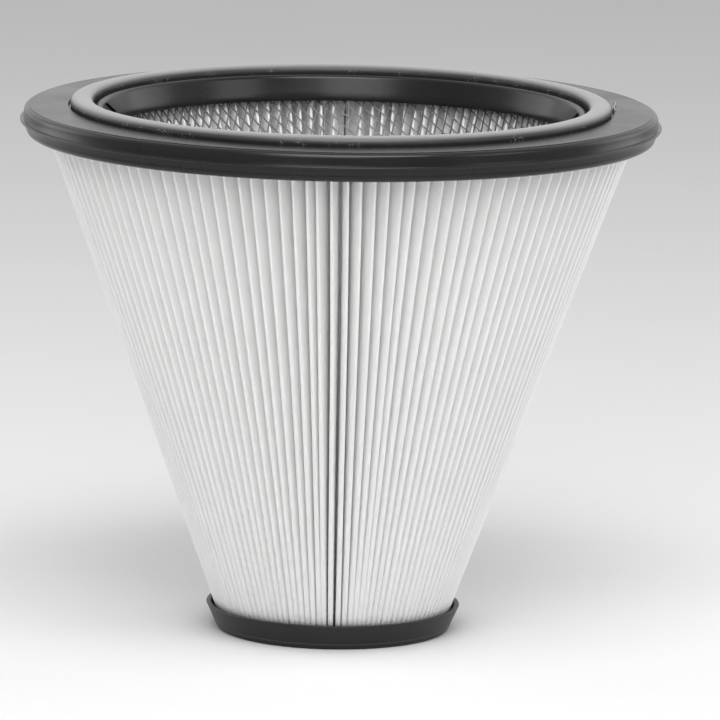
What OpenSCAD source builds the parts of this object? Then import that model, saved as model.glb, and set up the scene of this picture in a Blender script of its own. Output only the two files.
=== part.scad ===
/* [Overall] */
// Height from the flat base of the bottom cap to the flat face of the top flange
filter_h = 330; // [260:1:420]

/* [Top flange] */
// Diameter of the top flange across its parting fin
flange_d = 400; // [385:1:460]
// Height of the top flange from its lower edge to its face
flange_h = 18; // [17:0.5:26]
// Thickness of the flange's outer wall
skirt_t = 8.2; // [7.4:0.1:9]
// Thickness of the flange's flat top plate
plate_t = 4; // [3.2:0.1:5]
// Radius that rounds the outer wall into the face
rim_round = 3.3; // [2:0.1:4]
// Height of the fine edge that borders the face
face_edge = 0.4; // [0.2:0.1:0.8]
// How far the parting fin stands out of the wall
fin_out = 2.4; // [1.2:0.1:3]
// Thickness of the parting fin
fin_t = 1.6; // [1:0.1:2]
// Depth of the fine step near the lower edge of the skirt
skirt_step = 0.6; // [0.3:0.1:1]

/* [Collar] */
// Height of the collar from its lower edge to the top of its lip
collar_h = 16; // [14:0.5:20]
// Wall thickness of the collar
collar_t = 2.6; // [2:0.1:3]
// How much the collar widens in radius from its throat to the crest of its lip
collar_flare = 7.5; // [6.4:0.1:8]
// Length of the straight throat at the lower end of the collar
throat_h = 2.5; // [1.5:0.1:3.5]
// Width of a finger pocket at its upper edge
pocket_top_w = 30; // [20:1:40]
// Width of a finger pocket at its lower edge
pocket_low_w = 58; // [45:1:66]
// Height of a finger pocket
pocket_h = 8; // [5:0.5:9]
// Depth of a finger pocket
pocket_depth = 1.4; // [0.8:0.1:1.6]
// Direction of the finger pockets around the axis
pocket_turn = -2; // [-90:1:90]

/* [Gasket] */
// Width of the gasket bead
gasket_w = 15.5; // [11:0.5:18]
// Height of the gasket above the flange's face
gasket_h = 5.4; // [3:0.1:8]
// Depth of the seat that the gasket lies in
seat_depth = 1.6; // [0.8:0.1:2]
// Width of the open groove between the collar's lip and the gasket
groove_w = 1.2; // [0.6:0.1:2]
// Squareness of the bead's section, where 2 is an ellipse
gasket_square = 2.8; // [2:0.1:4]

/* [Pleated media] */
// Number of pleats
pleat_count = 128; // [80:1:136]
// Depth of the pleats, measured along the radius
pleat_depth = 34.5; // [24:0.5:36]
// Thickness of the nonwoven sheet
sheet_t = 0.6; // [0.4:0.05:0.7]
// Width of a rounded fold
fold_w = 1.7; // [1.5:0.05:2]
// Diameter over the pleats at the rim of the bottom cap
media_low_d = 150; // [144:1:190]
// Crowding of the pleats towards some sides, in degrees
crowding = 1.3; // [0:0.1:2]
// How far the pleat at the join of the sheet spreads open, in degrees
join_spread = 2.4; // [0:0.1:3]
// Direction of the join around the axis
join_at = 89; // [0:1:360]

/* [Support mesh] */
// Thickness of the expanded sheet
mesh_t = 0.8; // [0.5:0.1:1.2]
// Number of diamonds in one row around the cone
mesh_around = 15; // [10:1:15]
// Number of rows of diamonds
mesh_rows = 8; // [4:1:8]
// Width of the strands between the diamonds
strand_w = 3.6; // [2.5:0.1:5]

/* [Bottom cap] */
// Height of the bottom cap
cap_h = 16; // [14:0.5:24]
// Wall thickness of the bottom cap
cap_t = 3; // [2:0.1:4]
// Thickness of the cap's floor
floor_t = 3.2; // [2.4:0.1:4]
// Radius of the cap's lower edge
cap_round = 3.2; // [1.5:0.1:4.5]
// Height of the inner ring that dams the adhesive
dam_h = 7; // [5:0.5:9]
// Wall thickness of the inner ring
dam_t = 2; // [1.5:0.1:3]
// Depth of the shallow recess under the cap
recess_depth = 0.8; // [0.4:0.1:1.2]
// Width of the foot that borders the recess
foot_w = 14; // [8:1:20]

/* [Potting and fits] */
// Thickness of the adhesive behind the ends of the pleats
potting_bed = 2.2; // [1.5:0.1:3]
// How deep the lower ends of the pleats stand in the adhesive
low_sink = 4.2; // [3:0.1:5]
// How far the upper adhesive stays inside the skirt's lower edge
top_shy = 4; // [3:0.5:5]
// Gap between the pleats and the skirt at its lower edge
skirt_gap = 7; // [6.5:0.1:10]
// Gap between the pleats and the cap's wall
cap_gap = 1.6; // [1:0.1:2.5]
// Gap between the collar and the mesh at the collar's lower edge
collar_gap = 1.5; // [1.2:0.1:2.5]
// Fitting clearance of the folded pack against the mesh and the adhesive's pocket
pack_clear = 0.15; // [0.1:0.05:0.3]
// Fitting clearance between the gasket and the outer side of its seat
seat_clear = 0.5; // [0.3:0.1:1]
// Gap between the cap's inner ring and the mesh
dam_gap = 1; // [0.8:0.1:2]

/* [Hidden] */
$fn = 180;

// Heights above the flat base of the cap
face_z = filter_h;
skirt_z = filter_h - flange_h;
fin_z = skirt_z + flange_h / 2;
roof_z = face_z - plate_t;
throat_z = face_z - collar_h;
seat_z = face_z - seat_depth;
top_potting_z = skirt_z + top_shy;
media_top_z = roof_z - potting_bed;
media_low_z = floor_t + potting_bed;
low_potting_z = media_low_z + low_sink;

// Radii of the flange's wall
fin_r = flange_d / 2;
wall_r = fin_r - fin_out;
edge_r = wall_r - rim_round;
skirt_in_r = wall_r - skirt_t;

// The cones of the pleats: crests outside, folds inside, the mesh against the folds
crest_top_r = skirt_in_r - skirt_gap;
crest_low_r = media_low_d / 2;
slope = (crest_top_r - crest_low_r) / (skirt_z - cap_h);
function crest_r(z) = crest_low_r + slope * (z - cap_h);
function fold_r(z) = crest_r(z) - pleat_depth;
function mesh_out_r(z) = fold_r(z) - pack_clear;
function mesh_in_r(z) = mesh_out_r(z) - mesh_t;
function pocket_r(z) = crest_r(z) + pack_clear;

// Radii that follow from the mesh: the collar, its lip and the gasket's seat
throat_r = mesh_in_r(throat_z) - collar_gap - collar_t;
lip_r = throat_r + collar_flare;
lip_round = seat_depth;
seat_in_r = lip_r + lip_round;
gasket_in_r = seat_in_r + groove_w;
gasket_out_r = gasket_in_r + gasket_w;
seat_out_r = gasket_out_r + seat_clear;

// Radii that follow from the cone at the cap
function cap_in_r(z) = crest_r(z) + cap_gap;
function cap_out_r(z) = cap_in_r(z) + cap_t;
dam_r = mesh_in_r(media_low_z) - dam_gap;

// Points on an arc, from one direction to the other
function arc(x, y, r, from, to, n = 6) =
    [for (i = [0:n]) [x + r * cos(from + (to - from) * i / n),
                      y + r * sin(from + (to - from) * i / n)]];

// Inner radius of the collar at a height: a straight throat, then a funnel up to the lip
funnel_z = throat_z + throat_h;
lip_bend = 2 * lip_round;
lip_turn = 70;
lip_low_r = lip_r - lip_bend * sin(lip_turn);
lip_low_z = face_z - lip_bend * (1 - cos(lip_turn));
function collar_r(z) = z < funnel_z ? throat_r :
    throat_r + (lip_low_r - throat_r) * (z - funnel_z) / (lip_low_z - funnel_z);

// Section of the flange's outer wall, from the lower edge of the skirt up to the face
band_z = skirt_z + 3.7;
skirt_round = 3.2;
wall_outline = concat(
    [[skirt_in_r, skirt_z]],
    arc(wall_r - 1 - skirt_step - skirt_round, skirt_z + skirt_round, skirt_round, -90, 0),
    [[wall_r - 1 - skirt_step, band_z], [wall_r - 1, band_z + skirt_step / 2],
     [wall_r - 0.3, fin_z - fin_t / 2]],
    arc(fin_r - fin_t / 2, fin_z, fin_t / 2, -90, 90, 8),
    [[wall_r, fin_z + fin_t / 2]],
    arc(edge_r, face_z - face_edge - rim_round, rim_round, 0, 90),
    [[edge_r, face_z]]);

// Section of the seat, the lip and the funnel, from the face inwards and down
collar_outline = concat(
    [[seat_out_r, face_z], [seat_out_r, seat_z], [seat_in_r, seat_z]],
    arc(lip_r, face_z - lip_round, lip_round, 0, 90),
    arc(lip_r, face_z - lip_bend, lip_bend, 90, 90 + lip_turn),
    [[throat_r, funnel_z], [throat_r, throat_z], [throat_r + collar_t, throat_z],
     [throat_r + collar_t, funnel_z], [collar_r(roof_z) + collar_t, roof_z],
     [skirt_in_r, roof_z]]);

// A trapezoid seen along the radius, wider at the bottom
module pocket_shape() {
    top_z = lip_low_z;
    rotate([90, 0, 90])
        linear_extrude(height = fin_r)
            polygon([[-pocket_low_w / 2, top_z - pocket_h], [pocket_low_w / 2, top_z - pocket_h],
                     [pocket_top_w / 2, top_z], [-pocket_top_w / 2, top_z]]);
}

// The skin of the funnel that a finger pocket takes away
module pocket_skin() {
    low_z = funnel_z;
    top_z = lip_low_z;
    rotate_extrude()
        polygon([[collar_r(low_z) - 2, low_z], [collar_r(low_z) + pocket_depth, low_z],
                 [collar_r(top_z) + pocket_depth, top_z], [collar_r(top_z) - 2, top_z]]);
}

// Moulded ring with a flat face, a rounded wall with its parting fin, and a funnel collar
module top_flange() {
    color([0.12, 0.12, 0.13])
        difference() {
            rotate_extrude() polygon(concat(wall_outline, collar_outline));
            for (side = [0, 180])
                rotate([0, 0, pocket_turn + side])
                    intersection() {
                        pocket_skin();
                        pocket_shape();
                    }
        }
}

// Half of the bead's section as a superellipse over the floor of the seat
function bead(n) = [for (i = [0:n]) let (a = 180 * i / n, s = 2 / gasket_square)
    [gasket_in_r + gasket_w / 2 * (1 + sign(cos(a)) * pow(abs(cos(a)), s)),
     seat_z + (gasket_h + seat_depth) * pow(abs(sin(a)), s)]];

// Bead of foamed sealing compound, cast into the seat
module sealing_gasket() {
    color([0.72, 0.73, 0.74])
        rotate_extrude() polygon(bead(20));
}

// Adhesive in the channel under the flange, around the upper ends of the pleats
module upper_potting() {
    color([0.3, 0.31, 0.33])
        rotate_extrude()
            polygon([[throat_r + collar_t, top_potting_z],
                     [mesh_in_r(top_potting_z) - pack_clear, top_potting_z],
                     [mesh_in_r(media_top_z) - pack_clear, media_top_z],
                     [pocket_r(media_top_z), media_top_z],
                     [pocket_r(top_potting_z), top_potting_z],
                     [skirt_in_r, top_potting_z],
                     [skirt_in_r, roof_z],
                     [collar_r(roof_z) + collar_t, roof_z],
                     [throat_r + collar_t, funnel_z]]);
}

// Direction of a point along the folded sheet: crests at whole numbers, folds at halves
pitch_a = 360 / pleat_count;
join_i = round((join_at + 90) / pitch_a);
function wrap(u) = u - pleat_count * round(u / pleat_count);
function spread(x) = sign(x) * (1 - exp(-abs(x) / 0.3)) * exp(-abs(x) / 5);
function pleat_a(u) = -90 + pitch_a * u + crowding * sin(3 * pitch_a * u)
    + join_spread * spread(wrap(u - join_i));

// One pleat's points at a height on one face of the sheet, for the outer or the inner face
fold_share = 0.43;
function degrees_of(w, r) = w / r * 180 / PI;
function fold_half(z) = min(fold_w / 2, fold_share * 2 * PI * fold_r(z) / pleat_count);
function sheet_ring(z, outer) = [for (i = [0:pleat_count - 1])
    let (rc = outer ? crest_r(z) : crest_r(z) - sheet_t,
         rf = outer ? fold_r(z) + sheet_t : fold_r(z),
         wc = degrees_of(outer ? fold_w / 2 : fold_w / 2 - sheet_t, rc),
         wf = degrees_of(outer ? fold_half(z) - sheet_t : fold_half(z), rf),
         c = pleat_a(i), f = pleat_a(i + 0.5))
    for (p = [[rc, c - wc], [rc, c + wc], [rf, f - wf], [rf, f + wf]])
        [p[0] * cos(p[1]), p[0] * sin(p[1]), z]];

// Folded nonwoven sheet, closed to a cone
module pleated_media() {
    n = 4 * pleat_count;
    points = concat(sheet_ring(media_low_z, true), sheet_ring(media_top_z, true),
                    sheet_ring(media_low_z, false), sheet_ring(media_top_z, false));
    color([0.93, 0.93, 0.92])
        polyhedron(points, [for (i = [0:n - 1])
            let (j = (i + 1) % n)
            for (t = [[i, i + n, j], [j, i + n, j + n],
                      [i + 2 * n, j + 2 * n, i + 3 * n], [j + 2 * n, j + 3 * n, i + 3 * n],
                      [i, j, i + 2 * n], [j, j + 2 * n, i + 2 * n],
                      [i + n, i + 3 * n, j + n], [j + n, i + 3 * n, j + 3 * n]])
                t]);
}

// Heights at which the rows of diamonds meet, closer together where the cone is narrow
mesh_low_z = low_potting_z + strand_w / 2;
mesh_high_z = top_potting_z - strand_w / 2;
row_growth = pow(mesh_in_r(mesh_high_z) / mesh_in_r(mesh_low_z), 1 / (mesh_rows + 1));
function row_z(i) = mesh_low_z + mesh_in_r(mesh_low_z) * (pow(row_growth, i) - 1) / slope;

// One diamond opening of a row, cut along the radius through the wall
module diamond(row) {
    z = row_z(row + 1);
    low_z = row_z(row) + strand_w / 2;
    high_z = row_z(row + 2) - strand_w / 2;
    half_w = PI * mesh_in_r(z) / mesh_around - strand_w / 2;
    near_r = mesh_in_r(low_z) * cos(180 / mesh_around) - mesh_t;
    far_r = mesh_out_r(high_z) + mesh_t;
    rotate([90, 0, 90])
        translate([0, 0, near_r])
            linear_extrude(height = far_r - near_r)
                polygon([[-half_w, z], [0, low_z], [half_w, z], [0, high_z]]);
}

// Cone of expanded sheet that holds the inner folds apart
module support_mesh() {
    cell_a = 360 / mesh_around;
    color([0.6, 0.61, 0.62])
        difference() {
            rotate_extrude()
                polygon([[mesh_in_r(media_low_z), media_low_z],
                         [mesh_out_r(media_low_z), media_low_z],
                         [mesh_out_r(media_top_z), media_top_z],
                         [mesh_in_r(media_top_z), media_top_z]]);
            for (row = [0:mesh_rows - 1], k = [0:mesh_around - 1])
                rotate([0, 0, cell_a * (k + row % 2 / 2)])
                    diamond(row);
        }
}

// Adhesive in the cap, around the lower ends of the pleats
module lower_potting() {
    color([0.3, 0.31, 0.33])
        rotate_extrude()
            polygon([[dam_r, floor_t], [cap_in_r(floor_t), floor_t],
                     [cap_in_r(low_potting_z), low_potting_z],
                     [pocket_r(low_potting_z), low_potting_z],
                     [pocket_r(media_low_z), media_low_z],
                     [mesh_in_r(media_low_z) - pack_clear, media_low_z],
                     [mesh_in_r(low_potting_z) - pack_clear, low_potting_z],
                     [dam_r, low_potting_z]]);
}

// Moulded dish that closes the narrow end
module bottom_cap() {
    edge = 0.5;
    foot_r = cap_out_r(0) - cap_round;
    color([0.13, 0.13, 0.14])
        rotate_extrude()
            polygon(concat(
                [[0, recess_depth], [foot_r - foot_w - recess_depth, recess_depth],
                 [foot_r - foot_w, 0]],
                arc(foot_r, cap_round, cap_round, -90, -atan(slope)),
                [[cap_out_r(cap_h - edge), cap_h - edge], [cap_out_r(cap_h) - edge, cap_h],
                 [cap_in_r(cap_h) + edge, cap_h], [cap_in_r(cap_h - edge), cap_h - edge],
                 [cap_in_r(floor_t), floor_t],
                 [dam_r, floor_t], [dam_r, floor_t + dam_h],
                 [dam_r - dam_t, floor_t + dam_h], [dam_r - dam_t, floor_t],
                 [0, floor_t]]));
}

top_flange();
sealing_gasket();
upper_potting();
pleated_media();
support_mesh();
lower_potting();
bottom_cap();
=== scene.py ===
import math
import random

import bmesh
import bpy
from mathutils import Matrix, Vector, noise


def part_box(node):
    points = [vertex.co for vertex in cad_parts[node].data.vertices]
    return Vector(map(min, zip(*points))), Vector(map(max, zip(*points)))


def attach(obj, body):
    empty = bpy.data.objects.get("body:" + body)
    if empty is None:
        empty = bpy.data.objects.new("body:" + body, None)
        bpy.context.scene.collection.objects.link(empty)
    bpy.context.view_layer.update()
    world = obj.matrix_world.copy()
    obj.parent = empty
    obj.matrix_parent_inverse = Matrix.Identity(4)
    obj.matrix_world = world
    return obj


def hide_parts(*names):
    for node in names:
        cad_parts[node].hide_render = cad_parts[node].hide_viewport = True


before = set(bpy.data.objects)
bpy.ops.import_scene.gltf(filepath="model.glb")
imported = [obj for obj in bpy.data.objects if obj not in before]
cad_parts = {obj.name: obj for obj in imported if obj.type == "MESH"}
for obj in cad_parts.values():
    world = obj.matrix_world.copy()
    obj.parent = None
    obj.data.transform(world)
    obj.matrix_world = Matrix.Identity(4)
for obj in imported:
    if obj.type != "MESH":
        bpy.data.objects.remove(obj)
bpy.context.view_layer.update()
mm = 0.001

# Support mesh
# A sheet of galvanised steel, slit and stretched into diamonds, rolled to a cone and
# lapped along one side. It stands in the adhesive at both ends and keeps the folds apart.
mesh_t = 0.8 * mm
strand_w = 0.62 * mm
cell_side = 6.5 * mm
strand_tilt = math.radians(30)
upright_at = math.radians(141.6)
lap_w = 8 * mm
lap_ramp = 5 * mm
pleat_depth = 34.5 * mm
pack_clear = 0.15 * mm

crest_low_r = 75 * mm
skirt_gap = 7 * mm
cap_rim_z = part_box("bottom_cap")[1].z
skirt_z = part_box("top_flange")[0].z
skirt_in_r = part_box("upper_potting")[1].x
slope = (skirt_in_r - skirt_gap - crest_low_r) / (skirt_z - cap_rim_z)
half_cone = math.atan(slope)


def crest_r(z):
    """Radius over the pleats' outer folds at a height."""
    return crest_low_r + slope * (z - cap_rim_z)


def fold_r(z):
    """Radius of the pleats' inner folds at a height."""
    return crest_r(z) - pleat_depth


def finished(bm, name, stands_for, smooth_angle=None):
    """A piece made of the bmesh, on the body root, in place of a node of the frame."""
    mesh = bpy.data.meshes.new(name)
    bm.to_mesh(mesh)
    bm.free()
    if smooth_angle is not None:
        mesh.shade_smooth()
        mesh.set_sharp_from_angle(angle=math.radians(smooth_angle))
    piece = bpy.data.objects.new(name, mesh)
    bpy.context.scene.collection.objects.link(piece)
    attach(piece, "root")
    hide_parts(stands_for)
    return piece


def new_material(piece, name):
    """A material on the piece, its node tree and its shader."""
    material = bpy.data.materials.new(name)
    material.use_nodes = True
    piece.data.materials.append(material)
    return material.node_tree, material.node_tree.nodes["Principled BSDF"]


def add(tree, kind, inputs=None, **settings):
    """A node with its settings, and with each named input set or linked."""
    node = tree.nodes.new(kind)
    for key, value in settings.items():
        setattr(node, key, value)
    for key, value in (inputs or {}).items():
        if isinstance(value, bpy.types.NodeSocket):
            tree.links.new(value, node.inputs[key])
        else:
            node.inputs[key].default_value = value
    return node


def scaled(tree, value, low, high, from_low=0.0, from_high=1.0):
    """The value, mapped from one range to another."""
    return add(tree, "ShaderNodeMapRange", {
        "Value": value, "From Min": from_low, "From Max": from_high,
        "To Min": low, "To Max": high}).outputs["Result"]


def blended(tree, share, first, second):
    """A mix of two colours by a share that changes over the surface."""
    node = add(tree, "ShaderNodeMix", data_type="RGBA")
    tree.links.new(share, node.inputs["Factor"])
    for socket, value in ((node.inputs[6], first), (node.inputs[7], second)):
        if isinstance(value, bpy.types.NodeSocket):
            tree.links.new(value, socket)
        else:
            socket.default_value = (*value, 1)
    return node.outputs[2]


mesh_low_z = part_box("support_mesh")[0].z
mesh_top_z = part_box("support_mesh")[1].z
mesh_low_r = fold_r(mesh_low_z) - pack_clear - mesh_t / 2
apex_z = mesh_low_z - mesh_low_r / slope
low_s = (mesh_low_z - apex_z) / math.cos(half_cone)
top_s = (mesh_top_z - apex_z) / math.cos(half_cone)
half_turn = math.pi * math.sin(half_cone)
sheet_cells = 2 * math.ceil(1.2 * top_s / cell_side)

bm = bmesh.new()
bmesh.ops.create_grid(bm, x_segments=sheet_cells, y_segments=sheet_cells,
                      size=sheet_cells * cell_side / 2)
stretch = Matrix(((math.cos(strand_tilt), math.cos(strand_tilt), 0),
                  (math.sin(strand_tilt), -math.sin(strand_tilt), 0),
                  (0, 0, 1)))
bmesh.ops.transform(bm, matrix=stretch.to_4x4(), verts=bm.verts)
spare = []
for face in bm.faces:
    middle = face.calc_center_median()
    turn = abs(math.atan2(middle.y, middle.x))
    if not low_s < middle.length < top_s or turn > half_turn + 2 * lap_w / middle.length:
        spare.append(face)
bmesh.ops.delete(bm, geom=spare, context="FACES")
cells = list(bm.faces)
bmesh.ops.inset_individual(bm, faces=cells, thickness=strand_w / 2, use_even_offset=True)
bmesh.ops.delete(bm, geom=cells, context="FACES_ONLY")
for side, overlap in ((1, lap_w), (-1, 0)):
    outward = Vector((-math.sin(half_turn), side * math.cos(half_turn), 0))
    bmesh.ops.bisect_plane(bm, geom=[*bm.verts, *bm.edges, *bm.faces], clear_outer=True,
                           plane_co=outward * overlap, plane_no=outward)
lap_edge = Vector((-math.sin(half_turn), math.cos(half_turn), 0))
for v in bm.verts:
    s = min(max(v.co.length, low_s), top_s)
    lapped = min(max(1 + v.co.dot(lap_edge) / lap_ramp, 0), 1)
    r = s * math.sin(half_cone) - 1.1 * mesh_t * lapped
    a = upright_at + math.atan2(v.co.y, v.co.x) / math.sin(half_cone)
    v.co = (r * math.cos(a), r * math.sin(a), apex_z + s * math.cos(half_cone))
support_mesh = finished(bm, "expanded_mesh", "support_mesh")
wall = support_mesh.modifiers.new("sheet thickness", "SOLIDIFY")
wall.thickness = mesh_t
wall.offset = 0

tree, shader = new_material(support_mesh, "galvanised steel")
place = add(tree, "ShaderNodeTexCoord").outputs["Object"]
spangle = add(tree, "ShaderNodeTexVoronoi", {"Vector": place, "Scale": 180})
drawn = add(tree, "ShaderNodeTexNoise", {"Vector": place, "Scale": 900, "Detail": 3})
tree.links.new(blended(tree, spangle.outputs["Color"], (0.15, 0.15, 0.155), (0.21, 0.21, 0.215)),
               shader.inputs["Base Color"])
tree.links.new(scaled(tree, drawn.outputs["Fac"], 0.5, 0.7), shader.inputs["Roughness"])
shader.inputs["Metallic"].default_value = 0.7
tree.links.new(add(tree, "ShaderNodeBump", {
    "Height": drawn.outputs["Fac"], "Strength": 0.3, "Distance": 0.05 * mm}).outputs["Normal"],
    shader.inputs["Normal"])

# Pleated media
# White polyester nonwoven, embossed with fine slanting lines, folded to deep pleats and
# closed to a cone by a sealed join. Both ends of the pleats are cast into adhesive.
pleats = 128
sheet_t = 0.6 * mm
crest_top_round = 0.5 * mm
crest_low_round = 1.3 * mm
fold_round = 0.55 * mm
fold_share = 0.43
belly_low = 0.15 * mm
belly_top = 1.5 * mm
pitch = 360 / pleats
crowding = -1.3
join_pleat = 64
join_spread = 2.4
fan_pleat = 3
fan_reach = 3.0
fan_turn = 1.9
lean_pleat = 0.3
lean_turn = 1.7
lean_width = 0.9
lean_reach = 20
lean_low = 0.15
wander = 0.35 * mm
crest_steps = 4
flank_steps = 3
pleat_steps = 2 * (crest_steps + flank_steps)
height_steps = 26
media_low_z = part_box("pleated_media")[0].z
media_top_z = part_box("pleated_media")[1].z

drawing = random.Random(5)
crest_shift = [drawing.uniform(-0.2, 0.2) for _ in range(pleats)]
fold_shift = [drawing.uniform(-0.25, 0.25) for _ in range(pleats)]
fold_shift[0] = 0.6
fold_shift[-1] = -0.35
crest_shift[-1] = -0.5
crest_shift[0] = -0.3
crest_shift[1] = 0.2


def join_offset(u):
    """How far the open pleat at the join pushes its neighbours away, in degrees."""
    x = (u - join_pleat + pleats / 2) % pleats - pleats / 2
    push = (1 - math.exp(-abs(x) / 0.3)) * math.exp(-abs(x) / 5)
    return math.copysign(join_spread * push, x)


def lean_offset(u, level):
    """How far a fold near the front lies towards the front of its crests, in degrees."""
    x = (u - lean_pleat + pleats / 2) % pleats - pleats / 2
    strength = min(1, lean_low + 2 * level)
    return -lean_turn * strength * math.tanh(x / lean_width) * math.exp(-abs(x) / lean_reach)


def pleat_turn(u, shift, level):
    """Direction of a crest (whole u) or a fold (half u), at a level from 0 to 1."""
    turned = pitch * (u - 0.5)
    x = (u - fan_pleat + pleats / 2) % pleats - pleats / 2
    fan = fan_turn * (1 - level) * math.exp(-(x / fan_reach) ** 2)
    crowd = crowding * math.sin(math.radians(3 * turned))
    sway = noise.noise(Vector((7.3 * math.cos(math.radians(turned)),
                               7.3 * math.sin(math.radians(turned)), 2.1 * level)))
    r = crest_r(media_low_z + level * (media_top_z - media_low_z))
    return math.radians(turned - 90 + crowd + join_offset(u) + fan + shift) + wander * sway / r


def pleat_section(pleat, level):
    """Points of one pleat of the sheet's middle at a level, as radius, turn and distance."""
    z = media_low_z + level * (media_top_z - media_low_z)
    bend = crest_low_round + (crest_top_round - crest_low_round) * level
    fold_half = min(fold_round, fold_share * 2 * math.pi * fold_r(z) / pleats - sheet_t / 2)
    crest = pleat_turn(pleat, crest_shift[pleat % pleats], level)
    fold = pleat_turn(pleat + 0.5, fold_shift[pleat % pleats] + lean_offset(pleat + 0.5, level),
                      level)
    after = pleat_turn(pleat + 1, crest_shift[(pleat + 1) % pleats], level)
    outer = crest_r(z) - sheet_t / 2
    inner = fold_r(z) + sheet_t / 2
    quarter = [math.pi / crest_steps * i for i in range(crest_steps // 2 + 1)]
    belly = belly_low + (belly_top - belly_low) * level
    half = []
    for side, near in ((1, crest), (-1, after)):
        path = [(outer - bend * (1 - math.cos(q)), near + side * bend * math.sin(q) / outer)
                for q in quarter]
        fold_path = [(inner + fold_half * (1 - math.cos(q)),
                      fold - side * fold_half * math.sin(q) / inner) for q in quarter]
        start, end = path[-1], fold_path[-1]
        for i in range(1, flank_steps):
            share = i / flank_steps
            r = start[0] + (end[0] - start[0]) * share
            bulge = side * belly * math.sin(math.pi * share) * (1 - share)
            path.append((r, start[1] + (end[1] - start[1]) * share + bulge / r))
        path.extend(reversed(fold_path))
        distance = [0.0]
        for (r1, a1), (r2, a2) in zip(path, path[1:]):
            distance.append(distance[-1] + math.hypot(r2 - r1, (a2 - a1) * (r1 + r2) / 2))
        half.append([(r, a, d) for (r, a), d in zip(path, distance)])
    return half[0] + half[1][-2:0:-1]


bm = bmesh.new()
bmesh.ops.create_grid(bm, x_segments=pleats * pleat_steps, y_segments=height_steps, size=0.5)
sections = {(pleat, row): pleat_section(pleat, row / height_steps)
            for pleat in range(pleats) for row in range(height_steps + 1)}
sheet_place = {}
for v in bm.verts:
    column = round((v.co.x + 0.5) * pleats * pleat_steps)
    row = round((v.co.y + 0.5) * height_steps)
    r, a, d = sections[column // pleat_steps % pleats, row][column % pleat_steps]
    z = media_low_z + (media_top_z - media_low_z) * row / height_steps
    sheet_place[v.index] = (d, (z - media_low_z) / math.cos(half_cone))
    v.co = (r * math.cos(a), r * math.sin(a), z)
flat_map = bm.loops.layers.uv.new("flat sheet")
for face in bm.faces:
    for loop in face.loops:
        loop[flat_map].uv = sheet_place[loop.vert.index]
bmesh.ops.remove_doubles(bm, verts=bm.verts, dist=0.001 * mm)
bmesh.ops.recalc_face_normals(bm, faces=bm.faces)
media = finished(bm, "folded_nonwoven", "pleated_media", 80)
cloth = media.modifiers.new("sheet thickness", "SOLIDIFY")
cloth.thickness = sheet_t
cloth.offset = 0

tree, shader = new_material(media, "embossed nonwoven")
emboss_pitch = 1.5 * mm
seam_x = 2.5 * mm
seam_half_w = 0.5 * mm
flat = add(tree, "ShaderNodeUVMap", uv_map="flat sheet").outputs["UV"]
parts = add(tree, "ShaderNodeSeparateXYZ", {"Vector": flat})
slant = add(tree, "ShaderNodeMath", {0: parts.outputs["X"], 1: parts.outputs["Y"]},
            operation="ADD")
phase = add(tree, "ShaderNodeMath", {0: slant.outputs[0], 1: 2 * math.pi / emboss_pitch},
            operation="MULTIPLY")
line = add(tree, "ShaderNodeMath", {0: phase.outputs[0]}, operation="SINE").outputs[0]
place = add(tree, "ShaderNodeTexCoord").outputs["Object"]
cloudy = add(tree, "ShaderNodeTexNoise", {"Vector": place, "Scale": 45, "Detail": 4})
fibres = add(tree, "ShaderNodeTexNoise", {
    "Vector": place, "Scale": 1500, "Detail": 4, "Roughness": 0.65, "Distortion": 1.2})
tone = blended(tree, scaled(tree, line, 0, 1, -1, 1), (0.90, 0.90, 0.895), (0.945, 0.945, 0.94))
tone = blended(tree, scaled(tree, cloudy.outputs["Fac"], 0, 0.5, 0.45, 0.8), tone,
               (0.90, 0.90, 0.89))
# A dark line is painted down the join on the far side, where the open pleat folds deepest.
across = add(tree, "ShaderNodeSeparateXYZ", {"Vector": place})
seam = add(tree, "ShaderNodeMath", {0: across.outputs["X"], 1: seam_x, 2: seam_half_w},
           operation="COMPARE")
behind = add(tree, "ShaderNodeMath", {0: across.outputs["Y"], 1: 0}, operation="GREATER_THAN")
dark_join_line = add(tree, "ShaderNodeMath", {0: seam.outputs[0], 1: behind.outputs[0]},
            operation="MULTIPLY")
tone = blended(tree, dark_join_line.outputs[0], tone, (0.10, 0.10, 0.10))
fuzz = add(tree, "ShaderNodeMath", {0: fibres.outputs["Fac"], 1: line}, operation="ADD")
tree.links.new(tone, shader.inputs["Base Color"])
tree.links.new(scaled(tree, fibres.outputs["Fac"], 0.75, 0.95), shader.inputs["Roughness"])
tree.links.new(add(tree, "ShaderNodeBump", {
    "Height": fuzz.outputs[0], "Strength": 0.35, "Distance": 0.06 * mm}).outputs["Normal"],
    shader.inputs["Normal"])
shader.inputs["Specular IOR Level"].default_value = 0.25
shader.inputs["Subsurface Weight"].default_value = 1
shader.inputs["Subsurface Radius"].default_value = (1, 1, 1)
shader.inputs["Subsurface Scale"].default_value = 1.2 * mm
fold_bounces = 10
bpy.context.scene.cycles.diffuse_bounces = fold_bounces

# Bottom cap
# An injection-moulded dish of black polypropylene that closes the narrow end. A low ring
# on its floor dams the adhesive, and a shallow recess leaves a ring-shaped foot below.
cap_gap = 1.6 * mm
cap_t = 3 * mm
cap_round = 3.2 * mm
rim_edge = 0.5 * mm
floor_t = 3.2 * mm
dam_h = 7 * mm
dam_t = 2 * mm
dam_gap = 1 * mm
recess = 0.8 * mm
foot_w = 14 * mm
turn_steps = 288


def arc(x, z, r, start, end, steps=8):
    """Points on an arc of a section, from one direction to another in degrees."""
    turns = [math.radians(start + (end - start) * i / steps) for i in range(steps + 1)]
    return [(x + r * math.cos(t), z + r * math.sin(t)) for t in turns]


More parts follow.
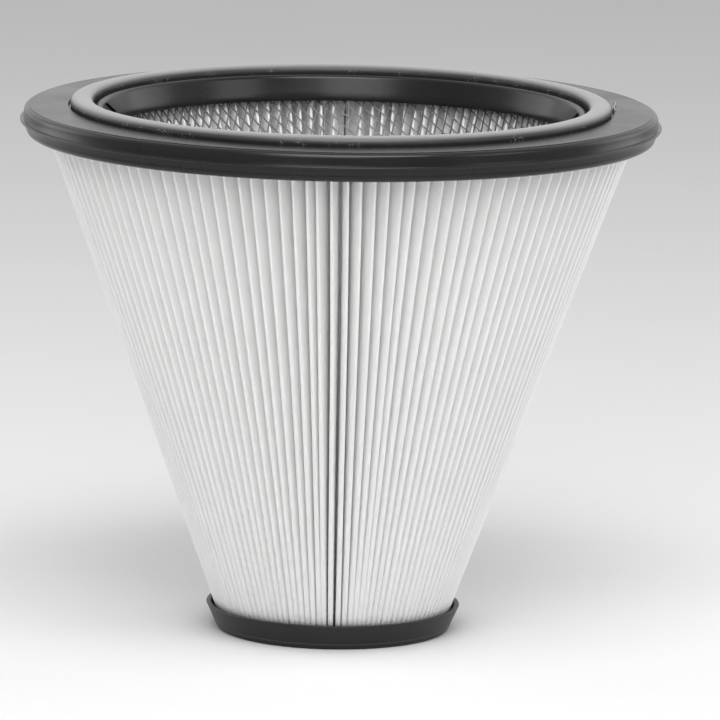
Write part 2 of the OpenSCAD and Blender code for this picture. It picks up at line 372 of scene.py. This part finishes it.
def turned_ring(outline, steps):
    """A bmesh of the closed section spun about the axis."""
    ring = bmesh.new()
    corners = [ring.verts.new((x, 0, z)) for x, z in outline]
    edges = [ring.edges.new(pair) for pair in zip(corners, corners[1:])]
    if outline[0][0] > 0:
        edges.append(ring.edges.new((corners[-1], corners[0])))
    bmesh.ops.spin(ring, geom=corners + edges, cent=(0, 0, 0), axis=(0, 0, 1),
                   angle=2 * math.pi, steps=steps, use_merge=True)
    bmesh.ops.remove_doubles(ring, verts=ring.verts, dist=0.001 * mm)
    bmesh.ops.dissolve_degenerate(ring, edges=ring.edges, dist=0.0001 * mm)
    bmesh.ops.recalc_face_normals(ring, faces=ring.faces)
    return ring


def cap_in_r(z):
    """Inner radius of the cap's wall at a height."""
    return crest_r(z) + cap_gap


dam_r = fold_r(media_low_z) - pack_clear - mesh_t - dam_gap
foot_r = cap_in_r(0) + cap_t - cap_round
wall_lean = math.degrees(half_cone)
outline = [(0, recess), (foot_r - foot_w - recess, recess)]
outline += arc(foot_r - foot_w + rim_edge, rim_edge, rim_edge, -150, -90, 3)
outline += arc(foot_r, cap_round, cap_round, -90, -wall_lean)
outline += arc(cap_in_r(cap_rim_z) + cap_t - rim_edge, cap_rim_z - rim_edge, rim_edge,
               -wall_lean, 90, 4)
outline += arc(cap_in_r(cap_rim_z) + rim_edge, cap_rim_z - rim_edge, rim_edge, 90, 180, 4)
outline += [(cap_in_r(floor_t), floor_t), (dam_r, floor_t)]
outline += arc(dam_r - rim_edge, floor_t + dam_h - rim_edge, rim_edge, 0, 90, 3)
outline += arc(dam_r - dam_t + rim_edge, floor_t + dam_h - rim_edge, rim_edge, 90, 180, 3)
outline += [(dam_r - dam_t, floor_t), (0, floor_t)]
bottom_cap = finished(turned_ring(outline, turn_steps), "moulded_cap", "bottom_cap", 35)


def node_group(name, inputs, outputs):
    """An empty shader group with named float inputs and outputs."""
    group = bpy.data.node_groups.new(name, "ShaderNodeTree")
    for title, value in inputs.items():
        socket = group.interface.new_socket(title, in_out="INPUT", socket_type="NodeSocketFloat")
        socket.default_value = value
    for title in outputs:
        group.interface.new_socket(title, in_out="OUTPUT", socket_type="NodeSocketFloat")
    return group, add(group, "NodeGroupInput"), add(group, "NodeGroupOutput")


# Moulded skin: the fine grain of the mould, soft marks of handling, and settled dust
skin, given, result = node_group("moulded skin", {"Grain": 1200.0, "Dust": 0.5},
                                 ("Grain", "Marks", "Dust"))
place = add(skin, "ShaderNodeTexCoord").outputs["Object"]
grain = add(skin, "ShaderNodeTexNoise", {
    "Vector": place, "Scale": given.outputs["Grain"], "Detail": 3, "Roughness": 0.6})
marks = add(skin, "ShaderNodeTexNoise", {"Vector": place, "Scale": 22, "Detail": 5})
motes = add(skin, "ShaderNodeTexVoronoi", {"Vector": place, "Scale": 260, "Randomness": 1})
mote = scaled(skin, motes.outputs["Distance"], 1, 0, 0.05, 0.13)
patch = add(skin, "ShaderNodeTexNoise", {"Vector": place, "Scale": 60, "Detail": 2})
sparse = scaled(skin, patch.outputs["Fac"], 0, 1, 0.6, 0.72)
facing = add(skin, "ShaderNodeSeparateXYZ", {
    "Vector": add(skin, "ShaderNodeNewGeometry").outputs["Normal"]}).outputs["Z"]
upward = scaled(skin, facing, 0, 1, 0.2, 0.9)
dust = add(skin, "ShaderNodeMath", {0: mote, 1: sparse}, operation="MULTIPLY").outputs[0]
dust = add(skin, "ShaderNodeMath", {0: dust, 1: upward}, operation="MULTIPLY").outputs[0]
dust = add(skin, "ShaderNodeMath", {0: dust, 1: given.outputs["Dust"]}, operation="MULTIPLY",
           use_clamp=True).outputs[0]
skin.links.new(grain.outputs["Fac"], result.inputs["Grain"])
skin.links.new(scaled(skin, marks.outputs["Fac"], 0, 1, 0.35, 0.7), result.inputs["Marks"])
skin.links.new(dust, result.inputs["Dust"])


def moulded_plastic(piece, name, colour, roughness, grain_scale, grain_depth):
    """Black moulded plastic with its grain, marks and dust."""
    tree, shader = new_material(piece, name)
    surface = add(tree, "ShaderNodeGroup", node_tree=skin)
    surface.inputs["Grain"].default_value = grain_scale
    marks = surface.outputs["Marks"]
    body = blended(tree, marks, colour, [1.18 * c for c in colour])
    tree.links.new(blended(tree, surface.outputs["Dust"], body, (0.32, 0.31, 0.3)),
                   shader.inputs["Base Color"])
    tree.links.new(scaled(tree, marks, roughness - 0.03, roughness + 0.05),
                   shader.inputs["Roughness"])
    tree.links.new(add(tree, "ShaderNodeBump", {
        "Height": surface.outputs["Grain"], "Strength": 0.5,
        "Distance": grain_depth}).outputs["Normal"], shader.inputs["Normal"])
    shader.inputs["Specular IOR Level"].default_value = 0.3


moulded_plastic(bottom_cap, "matte black polypropylene", (0.017, 0.017, 0.018), 0.42,
                1400, 0.012 * mm)

# Lower adhesive
# Dark polyurethane, poured into the cap around the ends of the pleats and the mesh. It
# levels by itself, and creeps up a little where it wets the folds.
creep = 0.7 * mm
low_potting_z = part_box("lower_potting")[1].z


def potting_outline(in_r, in_z, out_r, out_z, level, away):
    """Section of a poured ring whose free surface creeps up at the folds."""
    fold, crest = fold_r(level) - mesh_t, crest_r(level)
    rise = away * creep
    return [(in_r, in_z), (in_r, level), (fold - 1.5 * mm, level), (fold, level + rise),
            (crest, level + rise), (crest + 0.7 * mm, level), (out_r, level), (out_r, out_z)]


outline = potting_outline(dam_r, floor_t, cap_in_r(low_potting_z), floor_t, low_potting_z, 1)
lower_potting = finished(turned_ring(outline, turn_steps), "cap_adhesive", "lower_potting",
                         50)
adhesive = bpy.data.materials.new("cured polyurethane")
adhesive.use_nodes = True
tree = adhesive.node_tree
shader = tree.nodes["Principled BSDF"]
place = add(tree, "ShaderNodeTexCoord").outputs["Object"]
swirl = add(tree, "ShaderNodeTexNoise", {"Vector": place, "Scale": 70, "Detail": 4,
                                         "Distortion": 0.8})
bubbles = add(tree, "ShaderNodeTexVoronoi", {"Vector": place, "Scale": 420})
pit = scaled(tree, bubbles.outputs["Distance"], 0, 1, 0.08, 0.22)
tree.links.new(blended(tree, swirl.outputs["Fac"], (0.035, 0.036, 0.038), (0.06, 0.06, 0.062)),
               shader.inputs["Base Color"])
tree.links.new(scaled(tree, swirl.outputs["Fac"], 0.22, 0.45), shader.inputs["Roughness"])
tree.links.new(add(tree, "ShaderNodeBump", {
    "Height": pit, "Strength": 0.4, "Distance": 0.2 * mm}).outputs["Normal"],
    shader.inputs["Normal"])
lower_potting.data.materials.append(adhesive)

# Top flange
# One injection moulding of black polypropylene: a flat face, a rounded outer wall with
# the mould's parting fin, a seat for the gasket and a funnel collar with two pockets.
face_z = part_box("top_flange")[1].z
fin_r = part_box("top_flange")[1].x
fin_z = (face_z + skirt_z) / 2
wall_r = fin_r - 2.4 * mm
rim_round = 3.3 * mm
face_edge = 0.4 * mm
edge_r = wall_r - rim_round
fin_t = 1.6 * mm
band_r = wall_r - 1 * mm
band_z = skirt_z + 3.7 * mm
skirt_step = 0.6 * mm
skirt_round = 3.2 * mm
plate_t = 4 * mm
roof_z = face_z - plate_t
collar_t = 2.6 * mm
collar_gap = 1.5 * mm
throat_z = face_z - 16 * mm
throat_h = 2.5 * mm
collar_flare = 7.5 * mm
seat_z = face_z - 1.6 * mm
lip_round = 1.6 * mm
lip_bend = 3.2 * mm
lip_turn = 70
gasket_w = 15.5 * mm
groove_w = 1.2 * mm
seat_clear = 0.5 * mm
corner = 0.35 * mm
pocket_turns = (-2, 178)
pocket_h = 8 * mm
pocket_depth = 1.4 * mm
pocket_top_half = 15 * mm
pocket_low_half = 29 * mm
pocket_edge = 0.3 * mm

funnel_z = throat_z + throat_h
throat_r = fold_r(throat_z) - pack_clear - mesh_t - collar_gap - collar_t
lip_r = throat_r + collar_flare
seat_in_r = lip_r + lip_round
gasket_in_r = seat_in_r + groove_w
gasket_out_r = gasket_in_r + gasket_w
seat_out_r = gasket_out_r + seat_clear
lip_low_r = lip_r - lip_bend * math.sin(math.radians(lip_turn))
lip_low_z = face_z - lip_bend * (1 - math.cos(math.radians(lip_turn)))


def collar_in_r(z):
    """Inner radius of the funnel at a height."""
    return throat_r + (lip_low_r - throat_r) * (z - funnel_z) / (lip_low_z - funnel_z)


pocket_rows = (lip_low_z, lip_low_z - pocket_edge, lip_low_z - pocket_h + pocket_edge,
               lip_low_z - pocket_h)
outline = [(skirt_in_r, skirt_z + corner), (skirt_in_r + corner, skirt_z)]
outline += arc(band_r - skirt_step - skirt_round, skirt_z + skirt_round, skirt_round, -90, 0)
outline += [(band_r - skirt_step, band_z), (band_r, band_z + skirt_step / 2),
            (band_r + 0.5 * mm, fin_z - fin_t / 2 - 0.4 * mm),
            (wall_r - 0.3 * mm, fin_z - fin_t / 2)]
outline += arc(fin_r - fin_t / 2, fin_z, fin_t / 2, -90, 90)
outline += [(wall_r + corner / 2, fin_z + fin_t / 2), (wall_r, fin_z + fin_t / 2 + corner)]
outline += arc(edge_r, face_z - face_edge - rim_round, rim_round, 0, 90, 12)
outline += [(edge_r - 0.05 * mm, face_z - 0.1 * mm), (edge_r - 0.15 * mm, face_z),
            (seat_out_r + corner, face_z), (seat_out_r, face_z - corner),
            (seat_out_r, seat_z), (seat_in_r, seat_z)]
outline += arc(lip_r, face_z - lip_round, lip_round, 0, 90)
outline += arc(lip_r, face_z - lip_bend, lip_bend, 90, 90 + lip_turn, 10)
outline += [(collar_in_r(z), z) for z in pocket_rows[1:]]
outline += [(throat_r, funnel_z), (throat_r, throat_z + corner), (throat_r + corner, throat_z),
            (throat_r + collar_t - corner, throat_z), (throat_r + collar_t, throat_z + corner),
            (throat_r + collar_t, funnel_z), (collar_in_r(roof_z) + collar_t, roof_z),
            (skirt_in_r, roof_z)]
flange_steps = 360
bm = turned_ring(outline, flange_steps)
inside_columns = 9
outside_columns = 8
edge_turn = 0.18
reach = inside_columns + outside_columns
for v in bm.verts:
    r, z = math.hypot(v.co.x, v.co.y), v.co.z
    row = [i for i, level in enumerate(pocket_rows) if abs(z - level) < 0.01 * mm]
    if not row or abs(r - collar_in_r(z)) > 0.05 * mm:
        continue
    for middle in pocket_turns:
        turn = (math.degrees(math.atan2(v.co.y, v.co.x)) - middle + 180) % 360 - 180
        column = round(abs(turn) * flange_steps / 360)
        if column >= reach:
            continue
        share = 0 if row[0] < 2 else 1
        half = pocket_top_half + (pocket_low_half - pocket_top_half) * share
        half = math.degrees(half / r)
        if column <= inside_columns:
            turn = math.copysign(half * column / inside_columns, turn)
            r += pocket_depth if row[0] in (1, 2) else 0
        else:
            past = (column - inside_columns - 1) / (outside_columns - 1)
            turn = math.copysign(half + edge_turn + (reach - half - edge_turn) * past, turn)
        a = math.radians(middle + turn)
        v.co = (r * math.cos(a), r * math.sin(a), z)
top_flange = finished(bm, "moulded_flange", "top_flange", 32)
moulded_plastic(top_flange, "satin black polypropylene", (0.010, 0.010, 0.0105), 0.25,
                1900, 0.006 * mm)

# Upper adhesive
# The same polyurethane, poured into the channel of the upturned flange. It holds the
# pleats, the mesh and the flange together, and shows as a ring around the pleats below.
top_potting_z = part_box("upper_potting")[0].z
outline = [(collar_in_r(roof_z) + collar_t, roof_z)]
outline += potting_outline(throat_r + collar_t, funnel_z, skirt_in_r, roof_z, top_potting_z, -1)
upper_potting = finished(turned_ring(outline, turn_steps), "flange_adhesive", "upper_potting",
                         50)
upper_potting.data.materials.append(adhesive)

# Gasket
# A bead of polyurethane foam with a smooth closed skin, cast in place into the flange's
# seat. Its steep sides show small open cells, and the pour ends in a thin tail.
crown_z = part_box("sealing_gasket")[1].z
squareness = 2.8
bead_steps = 28
bead_turn_steps = 720
tuck = 1.2 * mm
tuck_h = 2.8 * mm
tail_half_w = 0.75 * mm
tail_half_h = 1.1 * mm
tail_half_l = 23 * mm
tail_x = 171.2 * mm
tail_y = 24 * mm

outline = []
for i in range(bead_steps + 1):
    t = math.pi * i / bead_steps
    across = math.copysign(abs(math.cos(t)) ** (2 / squareness), math.cos(t))
    z = seat_z + (crown_z - seat_z) * abs(math.sin(t)) ** (2 / squareness)
    half_w = gasket_w / 2 - tuck * max(1 - ((z - seat_z) / tuck_h) ** 2, 0)
    outline.append((gasket_in_r + gasket_w / 2 + half_w * across, z))
bm = turned_ring(outline, bead_turn_steps)
bm.normal_update()
for v in bm.verts:
    if v.co.z <= seat_z + 0.01 * mm:
        continue
    above_seat = min((v.co.z - seat_z) / tuck_h, 1)
    steep = (1 - abs(v.normal.z)) * above_seat ** 3
    slow = noise.noise(v.co * 28) * 0.12 * mm
    rough = noise.fractal(v.co * 620, 1.0, 2.0, 3) * 0.12 * mm * steep
    v.co += v.normal * (min(slow, 0) + rough * (0.25 + steep))
    v.co.z = min(v.co.z, crown_z)
tail = bmesh.ops.create_uvsphere(bm, u_segments=16, v_segments=40, radius=1)["verts"]
bmesh.ops.transform(bm, verts=tail, matrix=Matrix.Rotation(math.pi / 2, 4, "X"))
bmesh.ops.transform(bm, verts=tail, matrix=Matrix.Diagonal(
    (tail_half_w, tail_half_l, tail_half_h, 1)))
for v in tail:
    v.co.x += 0.6 * mm * math.sin(math.pi * v.co.y / tail_half_l)
bmesh.ops.translate(bm, verts=tail, vec=(tail_x, tail_y, face_z))
gasket = finished(bm, "foam_gasket", "sealing_gasket", 60)
tree, shader = new_material(gasket, "foamed polyurethane")
place = add(tree, "ShaderNodeTexCoord").outputs["Object"]
facing = add(tree, "ShaderNodeSeparateXYZ", {
    "Vector": add(tree, "ShaderNodeNewGeometry").outputs["Normal"]}).outputs["Z"]
side = scaled(tree, facing, 1, 0, 0.15, 0.75)
cells = add(tree, "ShaderNodeTexVoronoi", {"Vector": place, "Scale": 750})
open_cell = scaled(tree, cells.outputs["Distance"], 1, 0, 0.12, 0.4)
patches = add(tree, "ShaderNodeTexNoise", {"Vector": place, "Scale": 90, "Detail": 4})
worn = add(tree, "ShaderNodeMath", {
    0: scaled(tree, patches.outputs["Fac"], 0, 1, 0.52, 0.68), 1: side},
    operation="MULTIPLY").outputs[0]
speck = add(tree, "ShaderNodeMath", {0: worn, 1: open_cell}, operation="MULTIPLY").outputs[0]
soft = add(tree, "ShaderNodeTexNoise", {"Vector": place, "Scale": 14, "Detail": 3})
# Painted light and shade: the crown that faces up is coloured light grey and the steep sides
# near-black, a lit crown and shaded sides painted onto one foam.
lit_crown_tone = blended(tree, soft.outputs["Fac"], (0.20, 0.20, 0.203), (0.26, 0.26, 0.263))
body = blended(tree, scaled(tree, facing, 1, 0, 0.55, 0.97), lit_crown_tone, (0.030, 0.030, 0.031))
tree.links.new(blended(tree, speck, body, (0.42, 0.42, 0.41)), shader.inputs["Base Color"])
tree.links.new(scaled(tree, side, 0.24, 0.85), shader.inputs["Roughness"])
shader.inputs["Specular IOR Level"].default_value = 0.35
hollow = add(tree, "ShaderNodeMath", {0: open_cell, 1: side}, operation="MULTIPLY")
tree.links.new(add(tree, "ShaderNodeBump", {
    "Height": hollow.outputs[0], "Strength": 0.5, "Distance": 0.15 * mm}, invert=True
    ).outputs["Normal"], shader.inputs["Normal"])

# Studio
# A pale floor, a surround that is palest behind, and soft lamps: a large one over the
# camera, one high above it, one to the right, and a weak one behind on each side.
floor_half = 7.0
bm = bmesh.new()
bmesh.ops.create_circle(bm, cap_ends=True, segments=96, radius=floor_half)
mesh = bpy.data.meshes.new("studio_floor")
bm.to_mesh(mesh)
bm.free()
floor = bpy.data.objects.new("studio_floor", mesh)
bpy.context.scene.collection.objects.link(floor)
tree, shader = new_material(floor, "pale studio paper")
place = add(tree, "ShaderNodeTexCoord").outputs["Object"]
paper = add(tree, "ShaderNodeTexNoise", {"Vector": place, "Scale": 3, "Detail": 3})
tree.links.new(blended(tree, paper.outputs["Fac"], (0.70, 0.70, 0.70), (0.73, 0.73, 0.73)),
               shader.inputs["Base Color"])
shader.inputs["Roughness"].default_value = 0.9
shader.inputs["Specular IOR Level"].default_value = 0.1

world = bpy.data.worlds.new("pale surround")
bpy.context.scene.world = world
world.use_nodes = True
tree = world.node_tree
background = tree.nodes["Background"]
toward = add(tree, "ShaderNodeSeparateXYZ", {
    "Vector": add(tree, "ShaderNodeTexCoord").outputs["Generated"]}).outputs["Y"]
behind = scaled(tree, toward, 0, 1, -0.25, 0.6)
tree.links.new(blended(tree, behind, (0.40, 0.40, 0.40), (1, 1, 1)),
               background.inputs["Color"])
background.inputs["Strength"].default_value = 0.88

aim = Vector((0, 0, 0.17))
for name, azimuth, elevation, distance, width, height, power in (
        ("key softbox", -8, 36, 2.6, 1.4, 1.3, 16),
        ("high softbox", 5, 62, 2.4, 1.6, 1.2, 42),
        ("side softbox", 60, 30, 2.4, 1.0, 1.0, 7),
        ("left rim softbox", -118, 16, 2.4, 1.2, 1.6, 8),
        ("right rim softbox", 118, 16, 2.4, 1.2, 1.6, 8)):
    lamp = bpy.data.lights.new(name, "AREA")
    lamp.shape = "RECTANGLE"
    lamp.size = width
    lamp.size_y = height
    lamp.energy = power
    holder = bpy.data.objects.new(name, lamp)
    a, e = math.radians(azimuth), math.radians(elevation)
    back = Vector((math.sin(a) * math.cos(e), -math.cos(a) * math.cos(e), math.sin(e)))
    holder.location = aim + back * distance
    holder.rotation_euler = (-back).to_track_quat("-Z", "Y").to_euler()
    bpy.context.scene.collection.objects.link(holder)

# Camera
# It stands in front of the filter, looks down on it at the photograph's angle, and leans
# by one degree, as the photograph does.
camera_place = Vector((0, -4.8, 1.0041))
look_down = 0.17197
look_aside = 0.00302
roll = 0.01794
lens = 388.6
camera_data = bpy.data.cameras.new("camera")
camera_data.sensor_width = 36
camera_data.lens = lens
camera_data.clip_end = 100
camera = bpy.data.objects.new("camera", camera_data)
bpy.context.scene.collection.objects.link(camera)
camera.matrix_world = (Matrix.Translation(camera_place)
                       @ Matrix.Rotation(-look_aside, 4, "Z")
                       @ Matrix.Rotation(math.pi / 2 - look_down, 4, "X")
                       @ Matrix.Rotation(roll, 4, "Z"))
bpy.context.scene.camera = camera
bpy.context.scene.view_settings.view_transform = "Standard"
